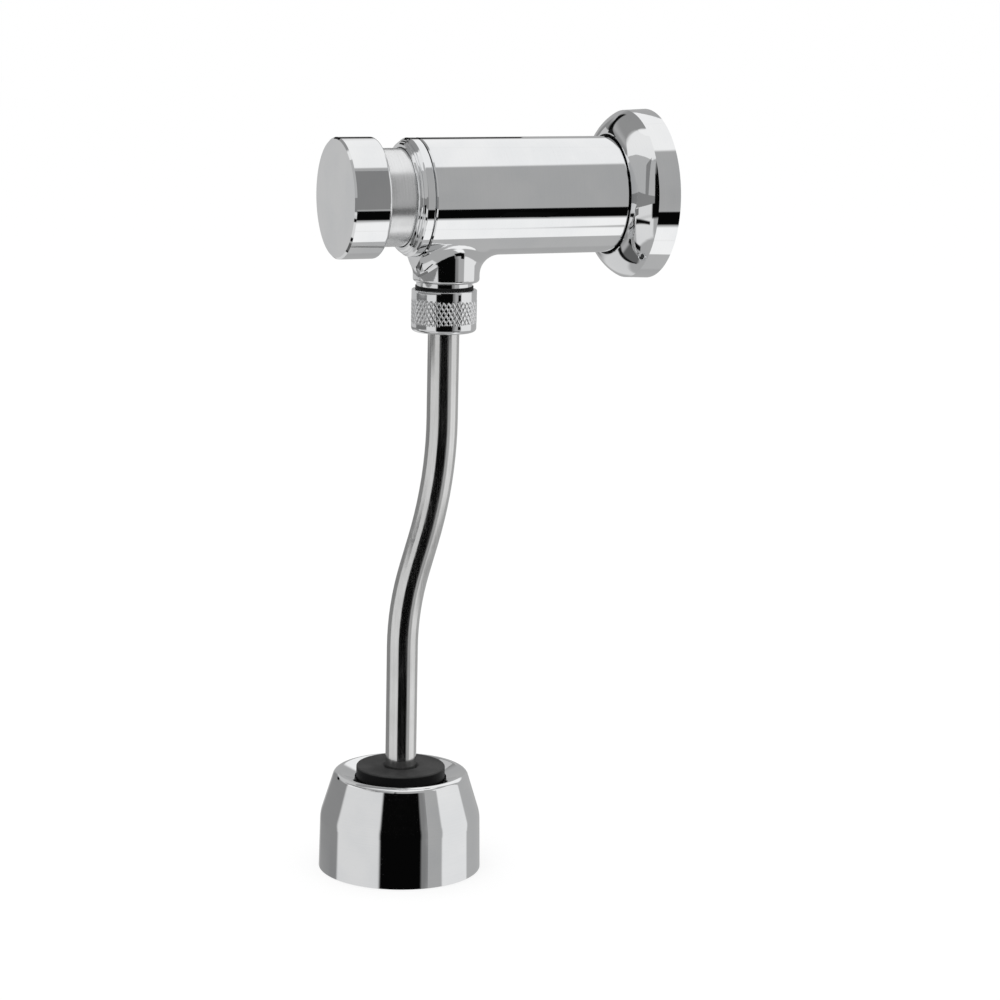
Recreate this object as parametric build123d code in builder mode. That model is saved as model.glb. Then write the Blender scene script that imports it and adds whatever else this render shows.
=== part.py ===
# Self-closing push-button flush valve for a urinal, with its flush tube and bell cover.
# All sizes are in millimetres.
#
# The valve's axis is the Y axis. The wall is the plane Y = 0, and the user stands at -Y.
# "out" is a distance from the wall towards the user, "drop" a distance below the valve's axis.

import os
from math import atan2, cos, pi, radians, sin, sqrt

from build123d import *

os.makedirs("parts", exist_ok=True)

# Fits and gaps shared by all pieces
running_gap = 0.05       # radial, a rod or tube that slides or turns in its hole
moving_gap = 0.3         # radial, round faces that move past each other
seated_gap = 0.05        # radial, pieces that sit in each other and do not move
face_gap = 0.1           # between flat faces of pieces that move apart
edge_break = 0.4         # small bevel on turned edges
groove_play = 0.2        # a ring's groove is this much wider and deeper than the ring

# Valve body and inlet
body_radius = 23.55
body_wall = 3.55
body_rear_out = 9.5
body_front_out = 100.0
chamber_rear_out = 26.0
mouth_wall = 2.25        # wall round the wider front mouth
mouth_depth = 6.8
seam_gap = 0.35
seam_bevel = 0.5
body_rear_bevel = 0.8

inlet_thread_radius = 10.48
inlet_length_behind_wall = 10.5
inlet_bore_radius = 6.5
nipple_hex_radius = 12.7
nipple_hex_length = 5.0
nipple_spigot_radius = 9.4
nipple_spigot_length = 8.5
gasket_thickness = 1.5
limiter_thickness = 2.6
limiter_hole_radius = 1.1
limiter_hole_count = 6
limiter_hole_circle = 5.2    # radius of the circle that the small holes stand on
limiter_centre_hole_radius = 2.2
passage_radius = 7.5

filter_rim_radius = 8.0
filter_rim_thickness = 1.6
filter_rim_recess = 2.4
filter_wall = 0.9
filter_length = 17.0
filter_slot_count = 12
filter_slot_width = 1.3
filter_slot_length = 3.2
filter_slot_rows = 3

# Outlet under the front end of the body
outlet_out = 87.4
outlet_bore_radius = 5.25
boss_radius = 13.4
boss_set_back = 0.7      # the boss stands this much nearer the wall than the outlet's axis
boss_straight = 1.95     # plain length of the boss between its blend and its lower face
boss_blend = 8.5
boss_corner = 1.3
boss_flare_ahead = 0.9   # how far the boss's blend runs on under the collar
neck_shoulder_radius = 11.3
neck_shoulder_length = 4.6
neck_radius = 10.4       # over the thread
neck_length = 11.5

# Retaining collar at the front
collar_length = 4.0
collar_nose_length = 2.5
collar_nose_wall = 1.4   # radial, from the skirt to the collar's nose
collar_bevel = 0.5

# Push button, which slides on the valve's axis
stroke = 7.0             # how far the button goes in
skirt_spare = 0.85       # room between the skirt and the cap when the button is in
carrier_spare = 1.4      # room between the seal carrier and the timer then
button_radius = 24.0
button_front_out = 134.0
button_length = 15.6
button_bevel = 0.75
button_rear_round = 1.2
button_dish = 0.35       # depth of the shallow hollow in the button's face
button_face_wall = 3.2
button_hub_radius = 6.5
button_hub_length = 7.0
skirt_inset = 4.05       # radial, from the body's outside to the skirt
skirt_wall = 1.8

# Cartridge
cap_thickness = 3.0
cap_hub_radius = 8.5
cap_hub_front = 7.0      # hub length ahead of the cap
cap_hub_rear = 4.5       # hub length behind the cap
cap_spigot_length = 2.7
cap_spigot_wall = 2.0
seat_out = 74.0
seat_hole_radius = 8.5
seat_lip_width = 1.2
seat_lip_height = 0.8
seat_recess_radius = 14.0
seat_wall = 2.7
housing_land_length = 7.0
sleeve_radius = 16.5
sleeve_wall = 2.6
window_count = 6
window_width = 8.0
window_length = 8.0
window_before_cap = 3.2  # solid rim of the sleeve under the cap

stem_radius = 3.0
stem_tail_radius = 2.2
stem_tip_radius = 2.5
seal_radius = 11.5
seal_thickness = 3.0
carrier_rim = 0.9
carrier_plate = 2.5
carrier_lip = 1.3
spacer_radius = 4.0
spacer_length = 10.4
piston_thickness = 3.0
cup_seal_base = 1.5
cup_seal_depth = 3.5
cup_seal_lip = 1.1
lock_nut_width = 7.0
lock_nut_thickness = 3.0
stem_tail_spare = 0.8

timer_radius = 12.5
timer_bore_radius = 10.5
timer_bottom_out = 39.0
timer_bottom_wall = 2.5
leg_count = 4
leg_width = 3.6
leg_depth = 4.0          # radial
leg_gap = 1.2            # radial, between the legs and the body's chamber
leg_root_length = 8.5
leg_length = 24.0
screw_radius = 2.0
screw_head_out = 1.7     # how far the metering screw stands behind the timer's bottom
needle_radius = 0.9
needle_tip_radius = 0.3
needle_length = 1.6
screw_slot = 0.8

# Return spring
spring_radius = 11.5
spring_wire = 1.6
spring_turns = 7
spring_closing = 0.5     # 0 gives an even pitch, nearer 1 closes the end turns more
spring_checks = 24       # places per turn where the gap to the next turn is measured

# Rubber rings
large_ring = 1.8         # section diameters
flange_ring_section = 2.4

# Wall flange
flange_radius = 34.4
flange_taper = 0.4       # the band narrows this much towards the cone
flange_band = 9.3
flange_bulge = 1.15      # how far the cone's profile bows out
flange_depth = 17.3
flange_mouth_gap = 0.9   # radial, between the body and the flange's mouth
flange_mouth_edge = 0.45 # width of the mouth's flat edge
flange_wall = 1.2
flange_hub_length = 5.8
flange_lip = 1.5

# Coupling nut on the outlet
nut_radius = 13.14
nut_below_boss = 3.03    # gap that shows the neck between the boss and the nut
nut_height = 17.02
nut_mouth_radius = 11.8
nut_mouth_depth = 3.2
nut_thread_gap = 0.35
nut_floor = 2.4
nut_bottom_round = 1.6
knurl_top = 3.9          # plain band above the knurl
knurl_length = 9.0
knurl_relief = 0.18      # the knurled band stands this much under the plain bands
neck_ring_radius = 11.7
neck_ring_height = 1.3
washer_thickness = 1.9
washer_width = 3.9
slip_ring_thickness = 1.1
tube_collar_thickness = 2.7
tube_collar_radius = 9.3

# Flush tube
tube_radius = 6.35
tube_wall = 1.0
tube_upper_length = 41.75  # straight length below the outlet washer
tube_offset = 15.78        # how far the bend carries the tube towards the user
bend_angle = 16.9
upper_bend_radius = 174.0
lower_bend_radius = 110.0
tube_end_drop = 275.4

# Bell cover at the foot of the tube
bell_rim_drop = 276.4
bell_rim_radius = 33.35
bell_shoulder_radius = 32.89
bell_shoulder_drop = 254.0
bell_crest_radius = 27.05
bell_crest_drop = 235.2
bell_mouth_radius = 18.9
bell_mouth_drop = 238.6
bell_wall = 1.0
bell_trim = 1.0          # length turned off the rim so that it ends flat
bell_shoulder_round = 15.0
bell_crest_round = 2.5

grommet_radius = 18.25
grommet_top_drop = 233.74
grommet_flange_radius = 21.5
grommet_flange_thickness = 2.8
grommet_recess_radius = 7.6  # the hole's upper edge slopes down from here to the tube
grommet_recess_depth = 0.9
grommet_round = 0.6

# Rubber sleeve on the tube's end, which fits the urinal's inlet
spud_seal_drop = 250.0
spud_seal_length = 23.0
spud_seal_hub_radius = 12.0
spud_lip_radius = 17.4
spud_lip_thickness = 2.5
spud_lip_pitch = 5.5
spud_lip_count = 4
spud_first_lip = 3.0     # distance from the sleeve's top to its first lip


# Places that follow from the sizes above
chamber_radius = body_radius - body_wall
leg_outer_radius = chamber_radius - leg_gap
leg_inner_radius = leg_outer_radius - leg_depth
mouth_radius = body_radius - mouth_wall
mouth_rear_out = body_front_out - mouth_depth
cap_front_out = mouth_rear_out + cap_thickness
collar_rear_out = body_front_out + seam_gap
collar_shoulder_out = collar_rear_out + collar_length
collar_nose_out = collar_shoulder_out + collar_nose_length
skirt_radius = body_radius - skirt_inset
collar_nose_radius = skirt_radius + collar_nose_wall
collar_bore_radius = skirt_radius + moving_gap
collar_thread_radius = mouth_radius - seated_gap
skirt_rear_out = cap_front_out + stroke + skirt_spare
button_rear_out = button_front_out - button_length
button_inner_out = button_front_out - button_face_wall
skirt_bore_radius = skirt_radius - skirt_wall
nipple_seat_out = body_rear_out - gasket_thickness
nipple_hex_out = nipple_seat_out - nipple_hex_length
nipple_end_out = body_rear_out + nipple_spigot_length
limiter_radius = nipple_spigot_radius
sleeve_bore_radius = sleeve_radius - sleeve_wall
seal_front_out = seat_out - face_gap
seal_rear_out = seal_front_out - seal_thickness
carrier_rear_out = seal_rear_out - carrier_plate
timer_rim_out = carrier_rear_out - stroke - carrier_spare
piston_front_out = carrier_rear_out - spacer_length
piston_rear_out = piston_front_out - piston_thickness
cup_base_out = piston_rear_out - cup_seal_base
nut_rear_out = cup_base_out - lock_nut_thickness
stem_tail_out = nut_rear_out - stem_tail_spare
timer_rear_out = timer_bottom_out - timer_bottom_wall
boss_drop = body_radius + boss_blend + boss_straight
neck_end_drop = boss_drop + neck_length
washer_top_drop = neck_end_drop + face_gap / 2
washer_bottom_drop = washer_top_drop + washer_thickness
tube_top_drop = washer_bottom_drop + face_gap
tube_collar_bottom_drop = tube_top_drop + tube_collar_thickness
nut_top_drop = boss_drop + nut_below_boss
nut_bottom_drop = nut_top_drop + nut_height
neck_ring_bottom_drop = nut_top_drop - face_gap
nut_floor_drop = nut_bottom_drop - nut_floor
slip_ring_bottom_drop = nut_floor_drop - face_gap
slip_ring_top_drop = slip_ring_bottom_drop - slip_ring_thickness
foot_out = outlet_out + tube_offset
flange_front_radius = flange_radius - flange_taper
flange_bore = body_radius + flange_mouth_gap
flange_mouth_radius = flange_bore + flange_mouth_edge

# Planes and axes
along = Plane(origin=(0, 0, 0), x_dir=(0, -1, 0), z_dir=(-1, 0, 0))           # (out, radius)
below_outlet = Plane(origin=(0, -outlet_out, 0), x_dir=(1, 0, 0), z_dir=(0, 1, 0))  # (radius, drop)
below_foot = Plane(origin=(0, -foot_out, 0), x_dir=(1, 0, 0), z_dir=(0, 1, 0))      # (radius, drop)
outlet_axis = Axis((0, -outlet_out, 0), (0, 0, 1))
foot_axis = Axis((0, -foot_out, 0), (0, 0, 1))


def across(out):
    """The plane square to the valve's axis at this distance from the wall."""
    return Plane.XZ.offset(out)


def level(drop):
    """The horizontal plane at this distance below the valve's axis."""
    return Plane.XY.offset(-drop)


def turned(plane, *points, radius=0):
    """A closed outline through the points, ready to be revolved, with rounded corners."""
    with BuildSketch(plane) as outline:
        with BuildLine():
            FilletPolyline(*points, radius=radius, close=True)
        make_face()
    return outline.sketch


def ring_section(plane, centre, section):
    """The round section of a rubber ring, with its diameter."""
    with BuildSketch(plane) as outline:
        with Locations(centre):
            Circle(section / 2)
    return outline.sketch


def cylinder_face(plane, first, last, radius):
    """A rectangle from the axis to a radius, for a plain turned cylinder."""
    return turned(plane, (first, 0), (last, 0), (last, radius), (first, radius))


# Body, inlet and outlet

# The round body, with the outlet boss blended into its underside.
boss_out = outlet_out - boss_set_back
blend_reach = outlet_out + boss_radius + boss_blend + boss_corner
with BuildPart() as valve_body:
    with BuildSketch(across(body_rear_out)):
        Circle(body_radius)
    extrude(amount=blend_reach - body_rear_out)
    chamfer(valve_body.edges().filter_by(GeomType.CIRCLE).sort_by(Axis.Y)[-1], body_rear_bevel)
    with BuildSketch(level(boss_drop)):
        with Locations((0, -boss_out)):
            Circle(boss_radius)
    extrude(amount=boss_drop)
    junction = valve_body.edges(Select.LAST).filter_by(GeomType.CIRCLE, reverse=True)
    fillet(junction.filter_by(GeomType.LINE, reverse=True), boss_blend)
    fillet(valve_body.edges().filter_by(GeomType.CIRCLE).sort_by(Axis.Z)[0], boss_corner)
    # Room for the collar; the boss's blend runs on a little below it.
    with BuildSketch(across(body_front_out)):
        Circle(body_radius + seam_gap)
    extrude(amount=blend_reach, mode=Mode.SUBTRACT)
    split(bisect_by=across(body_front_out + boss_flare_ahead), keep=Keep.BOTTOM)
    revolve(turned(below_outlet,
                   (0, boss_drop - boss_corner),
                   (neck_shoulder_radius, boss_drop - boss_corner),
                   (neck_shoulder_radius, boss_drop + neck_shoulder_length),
                   (neck_radius, boss_drop + neck_shoulder_length),
                   (neck_radius, neck_end_drop - edge_break),
                   (neck_radius - edge_break, neck_end_drop),
                   (0, neck_end_drop)), axis=outlet_axis)
    # Inlet hole, passage, chamber and wider mouth
    revolve(turned(along,
                   (body_rear_out, 0),
                   (body_rear_out, nipple_spigot_radius + seated_gap),
                   (nipple_end_out + limiter_thickness, nipple_spigot_radius + seated_gap),
                   (nipple_end_out + limiter_thickness, passage_radius),
                   (chamber_rear_out, passage_radius),
                   (chamber_rear_out, chamber_radius),
                   (mouth_rear_out, chamber_radius),
                   (mouth_rear_out, mouth_radius),
                   (body_front_out, mouth_radius),
                   (body_front_out, 0)), axis=Axis.Y, mode=Mode.SUBTRACT)
    # Seam bevel at the front rim
    revolve(turned(along,
                   (body_front_out - seam_bevel, body_radius + seam_gap),
                   (body_front_out - seam_bevel, body_radius),
                   (body_front_out, body_radius - seam_bevel),
                   (body_front_out, body_radius + seam_gap)), axis=Axis.Y, mode=Mode.SUBTRACT)
    with BuildSketch(level(neck_end_drop)):
        with Locations((0, -outlet_out)):
            Circle(outlet_bore_radius)
    extrude(amount=neck_end_drop - chamber_radius / 2, mode=Mode.SUBTRACT)

# Threaded nipple that passes the wall, with a hexagon for the spanner
with BuildPart() as inlet_nipple:
    revolve(turned(along,
                   (-inlet_length_behind_wall, 0),
                   (-inlet_length_behind_wall, inlet_thread_radius - edge_break),
                   (-inlet_length_behind_wall + edge_break, inlet_thread_radius),
                   (nipple_seat_out, inlet_thread_radius),
                   (nipple_seat_out, nipple_spigot_radius),
                   (nipple_end_out, nipple_spigot_radius),
                   (nipple_end_out, 0)), axis=Axis.Y)
    with BuildSketch(across(nipple_hex_out)):
        RegularPolygon(nipple_hex_radius, side_count=6)
    extrude(amount=nipple_seat_out - nipple_hex_out)
    revolve(cylinder_face(along, -inlet_length_behind_wall, nipple_end_out, inlet_bore_radius),
            axis=Axis.Y, mode=Mode.SUBTRACT)
    revolve(cylinder_face(along, -inlet_length_behind_wall,
                          -inlet_length_behind_wall + filter_rim_recess,
                          filter_rim_radius + seated_gap), axis=Axis.Y, mode=Mode.SUBTRACT)

with BuildPart() as inlet_gasket:
    with BuildSketch(across(nipple_seat_out)):
        Circle(nipple_hex_radius * cos(pi / 6))
        Circle(nipple_spigot_radius + seated_gap, mode=Mode.SUBTRACT)
    extrude(amount=gasket_thickness)

# Strainer thimble in the nipple, open to the supply and slotted all round
filter_radius = inlet_bore_radius - moving_gap
filter_rim_out = -inlet_length_behind_wall + filter_rim_recess
with BuildPart() as inlet_filter:
    revolve(turned(along,
                   (filter_rim_out - filter_rim_thickness, filter_radius - filter_wall),
                   (filter_rim_out - filter_rim_thickness, filter_rim_radius),
                   (filter_rim_out, filter_rim_radius),
                   (filter_rim_out, filter_radius),
                   (filter_rim_out + filter_length, filter_radius),
                   (filter_rim_out + filter_length, 0),
                   (filter_rim_out + filter_length - filter_wall, 0),
                   (filter_rim_out + filter_length - filter_wall, filter_radius - filter_wall)),
            axis=Axis.Y)
    row_pitch = (filter_length - filter_wall) / filter_slot_rows
    for row in range(filter_slot_rows):
        with BuildSketch(across(filter_rim_out + row_pitch * (row + 0.5) - filter_slot_length / 2)):
            with PolarLocations(filter_radius, filter_slot_count):
                Rectangle(2 * filter_wall + edge_break, filter_slot_width)
        extrude(amount=filter_slot_length, mode=Mode.SUBTRACT)

# Flow limiter behind the nipple
with BuildPart() as flow_limiter:
    with BuildSketch(across(nipple_end_out)):
        Circle(limiter_radius)
        Circle(limiter_centre_hole_radius, mode=Mode.SUBTRACT)
        with PolarLocations(limiter_hole_circle, limiter_hole_count):
            Circle(limiter_hole_radius, mode=Mode.SUBTRACT)
    extrude(amount=limiter_thickness)

# Screwed collar that holds the cartridge and guides the button's skirt
with BuildPart() as front_collar:
    revolve(turned(along,
                   (cap_front_out, collar_bore_radius),
                   (cap_front_out, collar_thread_radius),
                   (collar_rear_out, collar_thread_radius),
                   (collar_rear_out, body_radius - collar_bevel),
                   (collar_rear_out + collar_bevel, body_radius),
                   (collar_shoulder_out - collar_bevel, body_radius),
                   (collar_shoulder_out, body_radius - collar_bevel),
                   (collar_nose_out, collar_nose_radius),
                   (collar_nose_out, collar_bore_radius)), axis=Axis.Y)

# Cartridge

# Cap, with the hub that guides the stem
ring_groove = large_ring + groove_play
cap_ring_out = mouth_rear_out + cap_thickness / 2
with BuildPart() as cartridge_cap:
    cap_edge = mouth_radius - seated_gap
    cap_spigot_radius = sleeve_bore_radius - seated_gap
    revolve(turned(along,
                   (mouth_rear_out - cap_hub_rear, 0),
                   (mouth_rear_out - cap_hub_rear, cap_hub_radius),
                   (mouth_rear_out, cap_hub_radius),
                   (mouth_rear_out, cap_spigot_radius - cap_spigot_wall),
                   (mouth_rear_out - cap_spigot_length, cap_spigot_radius - cap_spigot_wall),
                   (mouth_rear_out - cap_spigot_length, cap_spigot_radius),
                   (mouth_rear_out, cap_spigot_radius),
                   (mouth_rear_out, cap_edge),
                   (cap_front_out, cap_edge),
                   (cap_front_out, cap_hub_radius),
                   (cap_front_out + cap_hub_front, cap_hub_radius),
                   (cap_front_out + cap_hub_front, 0)), axis=Axis.Y)
    revolve(turned(along,
                   (cap_ring_out - ring_groove / 2, cap_edge + edge_break),
                   (cap_ring_out - ring_groove / 2, mouth_radius - ring_groove),
                   (cap_ring_out + ring_groove / 2, mouth_radius - ring_groove),
                   (cap_ring_out + ring_groove / 2, cap_edge + edge_break)),
            axis=Axis.Y, mode=Mode.SUBTRACT)
    revolve(cylinder_face(along, mouth_rear_out - cap_hub_rear, cap_front_out + cap_hub_front,
                          stem_radius + running_gap), axis=Axis.Y, mode=Mode.SUBTRACT)
    revolve(cylinder_face(along, cap_ring_out - ring_groove / 2, cap_ring_out + ring_groove / 2,
                          stem_radius + ring_groove), axis=Axis.Y, mode=Mode.SUBTRACT)

with BuildPart() as cap_o_ring:
    revolve(ring_section(along, (cap_ring_out, mouth_radius - seated_gap - large_ring / 2),
                         large_ring), axis=Axis.Y)

with BuildPart() as stem_o_ring:
    revolve(ring_section(along, (cap_ring_out, stem_radius + running_gap + large_ring / 2),
                         large_ring), axis=Axis.Y)

# Housing with the valve seat at its rear end and the outlet windows round it
housing_radius = chamber_radius - seated_gap
housing_ring_out = seat_out + housing_land_length / 2
seat_floor_out = seat_out + seat_lip_height
seat_front_out = seat_floor_out + seat_wall
window_front_out = mouth_rear_out - window_before_cap
with BuildPart() as cartridge_housing:
    revolve(turned(along,
                   (seat_out, seat_hole_radius),
                   (seat_out, seat_hole_radius + seat_lip_width),
                   (seat_floor_out, seat_hole_radius + seat_lip_width),
                   (seat_floor_out, seat_recess_radius),
                   (seat_out, seat_recess_radius),
                   (seat_out, housing_radius),
                   (seat_out + housing_land_length, housing_radius),
                   (seat_out + housing_land_length, sleeve_radius),
                   (mouth_rear_out, sleeve_radius),
                   (mouth_rear_out, sleeve_bore_radius),
                   (seat_front_out, sleeve_bore_radius),
                   (seat_front_out, seat_hole_radius)), axis=Axis.Y)
    revolve(turned(along,
                   (housing_ring_out - ring_groove / 2, housing_radius + edge_break),
                   (housing_ring_out - ring_groove / 2, chamber_radius - ring_groove),
                   (housing_ring_out + ring_groove / 2, chamber_radius - ring_groove),
                   (housing_ring_out + ring_groove / 2, housing_radius + edge_break)),
            axis=Axis.Y, mode=Mode.SUBTRACT)
    with BuildSketch(across(window_front_out - window_length)):
        with PolarLocations(sleeve_radius - sleeve_wall / 2, window_count):
            Rectangle(2 * sleeve_wall, window_width)
    extrude(amount=window_length, mode=Mode.SUBTRACT)

with BuildPart() as housing_o_ring:
    revolve(ring_section(along, (housing_ring_out, chamber_radius - seated_gap - large_ring / 2),
                         large_ring), axis=Axis.Y)

# Timer cylinder, closed towards the wall and carried on legs behind the seat
with BuildPart() as timer_cylinder:
    revolve(turned(along,
                   (timer_rear_out, 0),
                   (timer_rear_out, timer_radius),
                   (timer_rim_out, timer_radius),
                   (timer_rim_out, timer_bore_radius),
                   (timer_bottom_out, timer_bore_radius),
                   (timer_bottom_out, 0)), axis=Axis.Y)
    with BuildSketch(across(seat_out - leg_length)):
        with PolarLocations((leg_inner_radius + leg_outer_radius) / 2, leg_count):
            Rectangle(leg_outer_radius - leg_inner_radius, leg_width)
    extrude(amount=leg_length)
    with BuildSketch(across(seat_out - leg_length)):
        leg_root_inner = (timer_bore_radius + timer_radius) / 2
        with PolarLocations((leg_root_inner + leg_outer_radius) / 2, leg_count):
            Rectangle(leg_outer_radius - leg_root_inner, leg_width)
    extrude(amount=leg_root_length)
    with BuildSketch(across(timer_rear_out)):
        Circle(screw_radius + seated_gap)
    extrude(amount=timer_bottom_wall, mode=Mode.SUBTRACT)

# Slotted screw whose needle meters the water that the timer draws back in
with BuildPart() as metering_screw:
    screw_rear_out = timer_rear_out - screw_head_out
    revolve(turned(along,
                   (screw_rear_out, 0),
                   (screw_rear_out, screw_radius),
                   (timer_bottom_out, screw_radius),
                   (timer_bottom_out, needle_radius),
                   (timer_bottom_out + needle_length, needle_tip_radius),
                   (timer_bottom_out + needle_length, 0)), axis=Axis.Y)
    with BuildSketch(across(screw_rear_out)):
        Rectangle(3 * screw_radius, screw_slot)
    extrude(amount=screw_slot, mode=Mode.SUBTRACT)

# Push button and the pieces that travel with it

# Solid-fronted button with a shallow dish in its face and a threaded hub inside
with BuildPart() as push_button:
    skirt_seat_radius = skirt_radius + seated_gap
    with BuildSketch(along):
        with BuildLine():
            face_edge = button_radius - button_bevel
            Polyline((button_front_out, face_edge),
                     (button_front_out - button_bevel, button_radius),
                     (button_rear_out, button_radius),
                     (button_rear_out, skirt_seat_radius),
                     (button_inner_out, skirt_seat_radius),
                     (button_inner_out, 0),
                     (button_front_out - button_dish, 0))
            TangentArc((button_front_out - button_dish, 0), (button_front_out, face_edge),
                       tangent=(0, 1))
        make_face()
    revolve(axis=Axis.Y)
    fillet(push_button.edges().filter_by(GeomType.CIRCLE).group_by(Axis.Y)[-1]
           .sort_by(SortBy.RADIUS)[-1], button_rear_round)
    with BuildSketch(across(button_inner_out - button_hub_length)):
        Circle(button_hub_radius)
    extrude(amount=button_hub_length)
    with BuildSketch(across(button_inner_out - button_hub_length)):
        Circle(stem_tip_radius + seated_gap)
    extrude(amount=button_hub_length, mode=Mode.SUBTRACT)

with BuildPart() as button_skirt:
    with BuildSketch(across(skirt_rear_out)):
        Circle(skirt_radius)
        Circle(skirt_bore_radius, mode=Mode.SUBTRACT)
    extrude(amount=button_inner_out - skirt_rear_out)
    chamfer(button_skirt.edges().filter_by(GeomType.CIRCLE).group_by(Axis.Y)[-1], edge_break)

# Stem from the button's hub, through the seat, to the timer piston
with BuildPart() as button_stem:
    hub_rear_out = button_inner_out - button_hub_length
    revolve(turned(along,
                   (stem_tail_out, 0),
                   (stem_tail_out, stem_tail_radius - edge_break),
                   (stem_tail_out + edge_break, stem_tail_radius),
                   (seal_front_out, stem_tail_radius),
                   (seal_front_out, stem_radius),
                   (hub_rear_out, stem_radius),
                   (hub_rear_out, stem_tip_radius),
                   (button_inner_out - face_gap, stem_tip_radius),
                   (button_inner_out - face_gap, 0)), axis=Axis.Y)

tail_hole_radius = stem_tail_radius + seated_gap
with BuildPart() as main_seal:
    with BuildSketch(across(seal_rear_out)):
        Circle(seal_radius)
        Circle(tail_hole_radius, mode=Mode.SUBTRACT)
    extrude(amount=seal_thickness)

# Dished carrier behind the seal, with the spacer that sets the piston's place
with BuildPart() as seal_carrier:
    carrier_inner = seal_radius + seated_gap
    carrier_radius = carrier_inner + carrier_rim
    revolve(turned(along,
                   (piston_front_out, tail_hole_radius),
                   (piston_front_out, spacer_radius),
                   (carrier_rear_out, spacer_radius),
                   (carrier_rear_out, carrier_radius),
                   (seal_rear_out + carrier_lip, carrier_radius),
                   (seal_rear_out + carrier_lip, carrier_inner),
                   (seal_rear_out, carrier_inner),
                   (seal_rear_out, tail_hole_radius)), axis=Axis.Y)

with BuildPart() as timer_piston:
    with BuildSketch(across(piston_rear_out)):
        Circle(timer_bore_radius - moving_gap)
        Circle(tail_hole_radius, mode=Mode.SUBTRACT)
    extrude(amount=piston_thickness)

# Rubber cup whose lip lets water past on the push and holds it on the way back
with BuildPart() as cup_seal:
    cup_radius = timer_bore_radius - running_gap
    cup_inner = cup_radius - cup_seal_lip
    cup_rear_out = piston_rear_out - cup_seal_depth
    revolve(turned(along,
                   (piston_rear_out, tail_hole_radius),
                   (piston_rear_out, cup_radius - moving_gap),
                   (cup_rear_out, cup_radius),
                   (cup_rear_out, cup_inner),
                   (cup_base_out, cup_inner - moving_gap),
                   (cup_base_out, tail_hole_radius)), axis=Axis.Y)

with BuildPart() as stem_lock_nut:
    with BuildSketch(across(nut_rear_out)):
        RegularPolygon(lock_nut_width / 2, side_count=6, major_radius=False)
        Circle(tail_hole_radius, mode=Mode.SUBTRACT)
    extrude(amount=lock_nut_thickness)


def spring_point(turn, length):
    """Centre of the wire after this many turns, and the wire's direction there."""
    angle = 2 * pi * turn
    whole = 2 * pi * spring_turns
    rise = length * (turn / spring_turns - spring_closing * sin(angle / spring_turns) / (2 * pi))
    slope = length / whole * (1 - spring_closing * cos(angle / spring_turns))
    place = Vector(spring_radius * cos(angle), -cap_front_out - spring_wire / 2 - rise,
                   spring_radius * sin(angle))
    heading = Vector(-spring_radius * sin(angle), -slope, spring_radius * cos(angle)).normalized()
    return place, heading


def biarc_meeting(first, first_heading, last, last_heading):
    """Where two arcs that leave the ends along their headings meet each other."""
    reach = last - first
    turn_sum = first_heading + last_heading
    spread = 4 - turn_sum.dot(turn_sum)
    along_reach = reach.dot(turn_sum)
    arm = (sqrt(along_reach ** 2 + spread * reach.dot(reach)) - along_reach) / spread
    return (first + first_heading * arm + last - last_heading * arm) / 2


# Return spring between the cap and the inside of the button, one unbroken wire
spring_rise = button_inner_out - cap_front_out - spring_wire - face_gap
quarters = 4 * spring_turns
with BuildPart() as return_spring:
    with BuildLine() as spring_line:
        for quarter in range(quarters):
            start, start_heading = spring_point(quarter / 4, spring_rise)
            end, end_heading = spring_point((quarter + 1) / 4, spring_rise)
            middle = biarc_meeting(start, start_heading, end, end_heading)
            first_arc = TangentArc(start, middle, tangent=start_heading)
            TangentArc(middle, end, tangent=first_arc % 1)
    with BuildSketch(Plane(origin=spring_line.line @ 0, z_dir=spring_line.line % 0)):
        Circle(spring_wire / 2)
    sweep(path=spring_line.line)

turn_gaps = []
for check in range(spring_checks * (spring_turns - 1) + 1):
    here = spring_point(check / spring_checks, spring_rise)[0]
    next_turn = spring_point(check / spring_checks + 1, spring_rise)[0]
    turn_gaps.append((next_turn - here).length - spring_wire)
print(f"return spring: least gap between turns {min(turn_gaps):.2f} mm")

# Wall flange

# Thin cover with a thick hub at its mouth, grooved for the ring that grips the body
flange_inner = flange_front_radius - flange_wall
flange_hub_out = flange_depth - flange_hub_length
flange_ring_out = flange_depth - flange_lip - flange_ring_section / 2
flange_groove = flange_ring_section / 2 + seated_gap
cone_rise = flange_front_radius - flange_mouth_radius
cone_run = flange_depth - flange_band
cone_skew = flange_wall / cos(atan2(cone_rise, cone_run))
cone_foot_out = flange_band - (cone_skew - flange_wall) * cone_run / cone_rise
cone_hub_radius = flange_inner - (flange_hub_out - cone_foot_out) * cone_rise / cone_run
with BuildPart() as wall_flange:
    with BuildSketch(along):
        with BuildLine():
            Polyline((flange_depth, flange_mouth_radius),
                     (flange_depth, flange_bore),
                     (flange_hub_out, flange_bore),
                     (flange_hub_out, cone_hub_radius),
                     (cone_foot_out, flange_inner),
                     (0, flange_inner),
                     (0, flange_radius),
                     (flange_band, flange_front_radius))
            SagittaArc((flange_band, flange_front_radius), (flange_depth, flange_mouth_radius),
                       flange_bulge)
        make_face()
    revolve(axis=Axis.Y)
    flange_ring_outer = body_radius + running_gap + flange_ring_section
    revolve(turned(along,
                   (flange_ring_out - flange_groove, flange_bore - edge_break),
                   (flange_ring_out - flange_groove, flange_ring_outer + seated_gap),
                   (flange_ring_out + flange_groove, flange_ring_outer + seated_gap),
                   (flange_ring_out + flange_groove, flange_bore - edge_break)),
            axis=Axis.Y, mode=Mode.SUBTRACT)

with BuildPart() as flange_ring:
    ring_centre = body_radius + running_gap + flange_ring_section / 2
    revolve(ring_section(along, (flange_ring_out, ring_centre), flange_ring_section), axis=Axis.Y)

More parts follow.
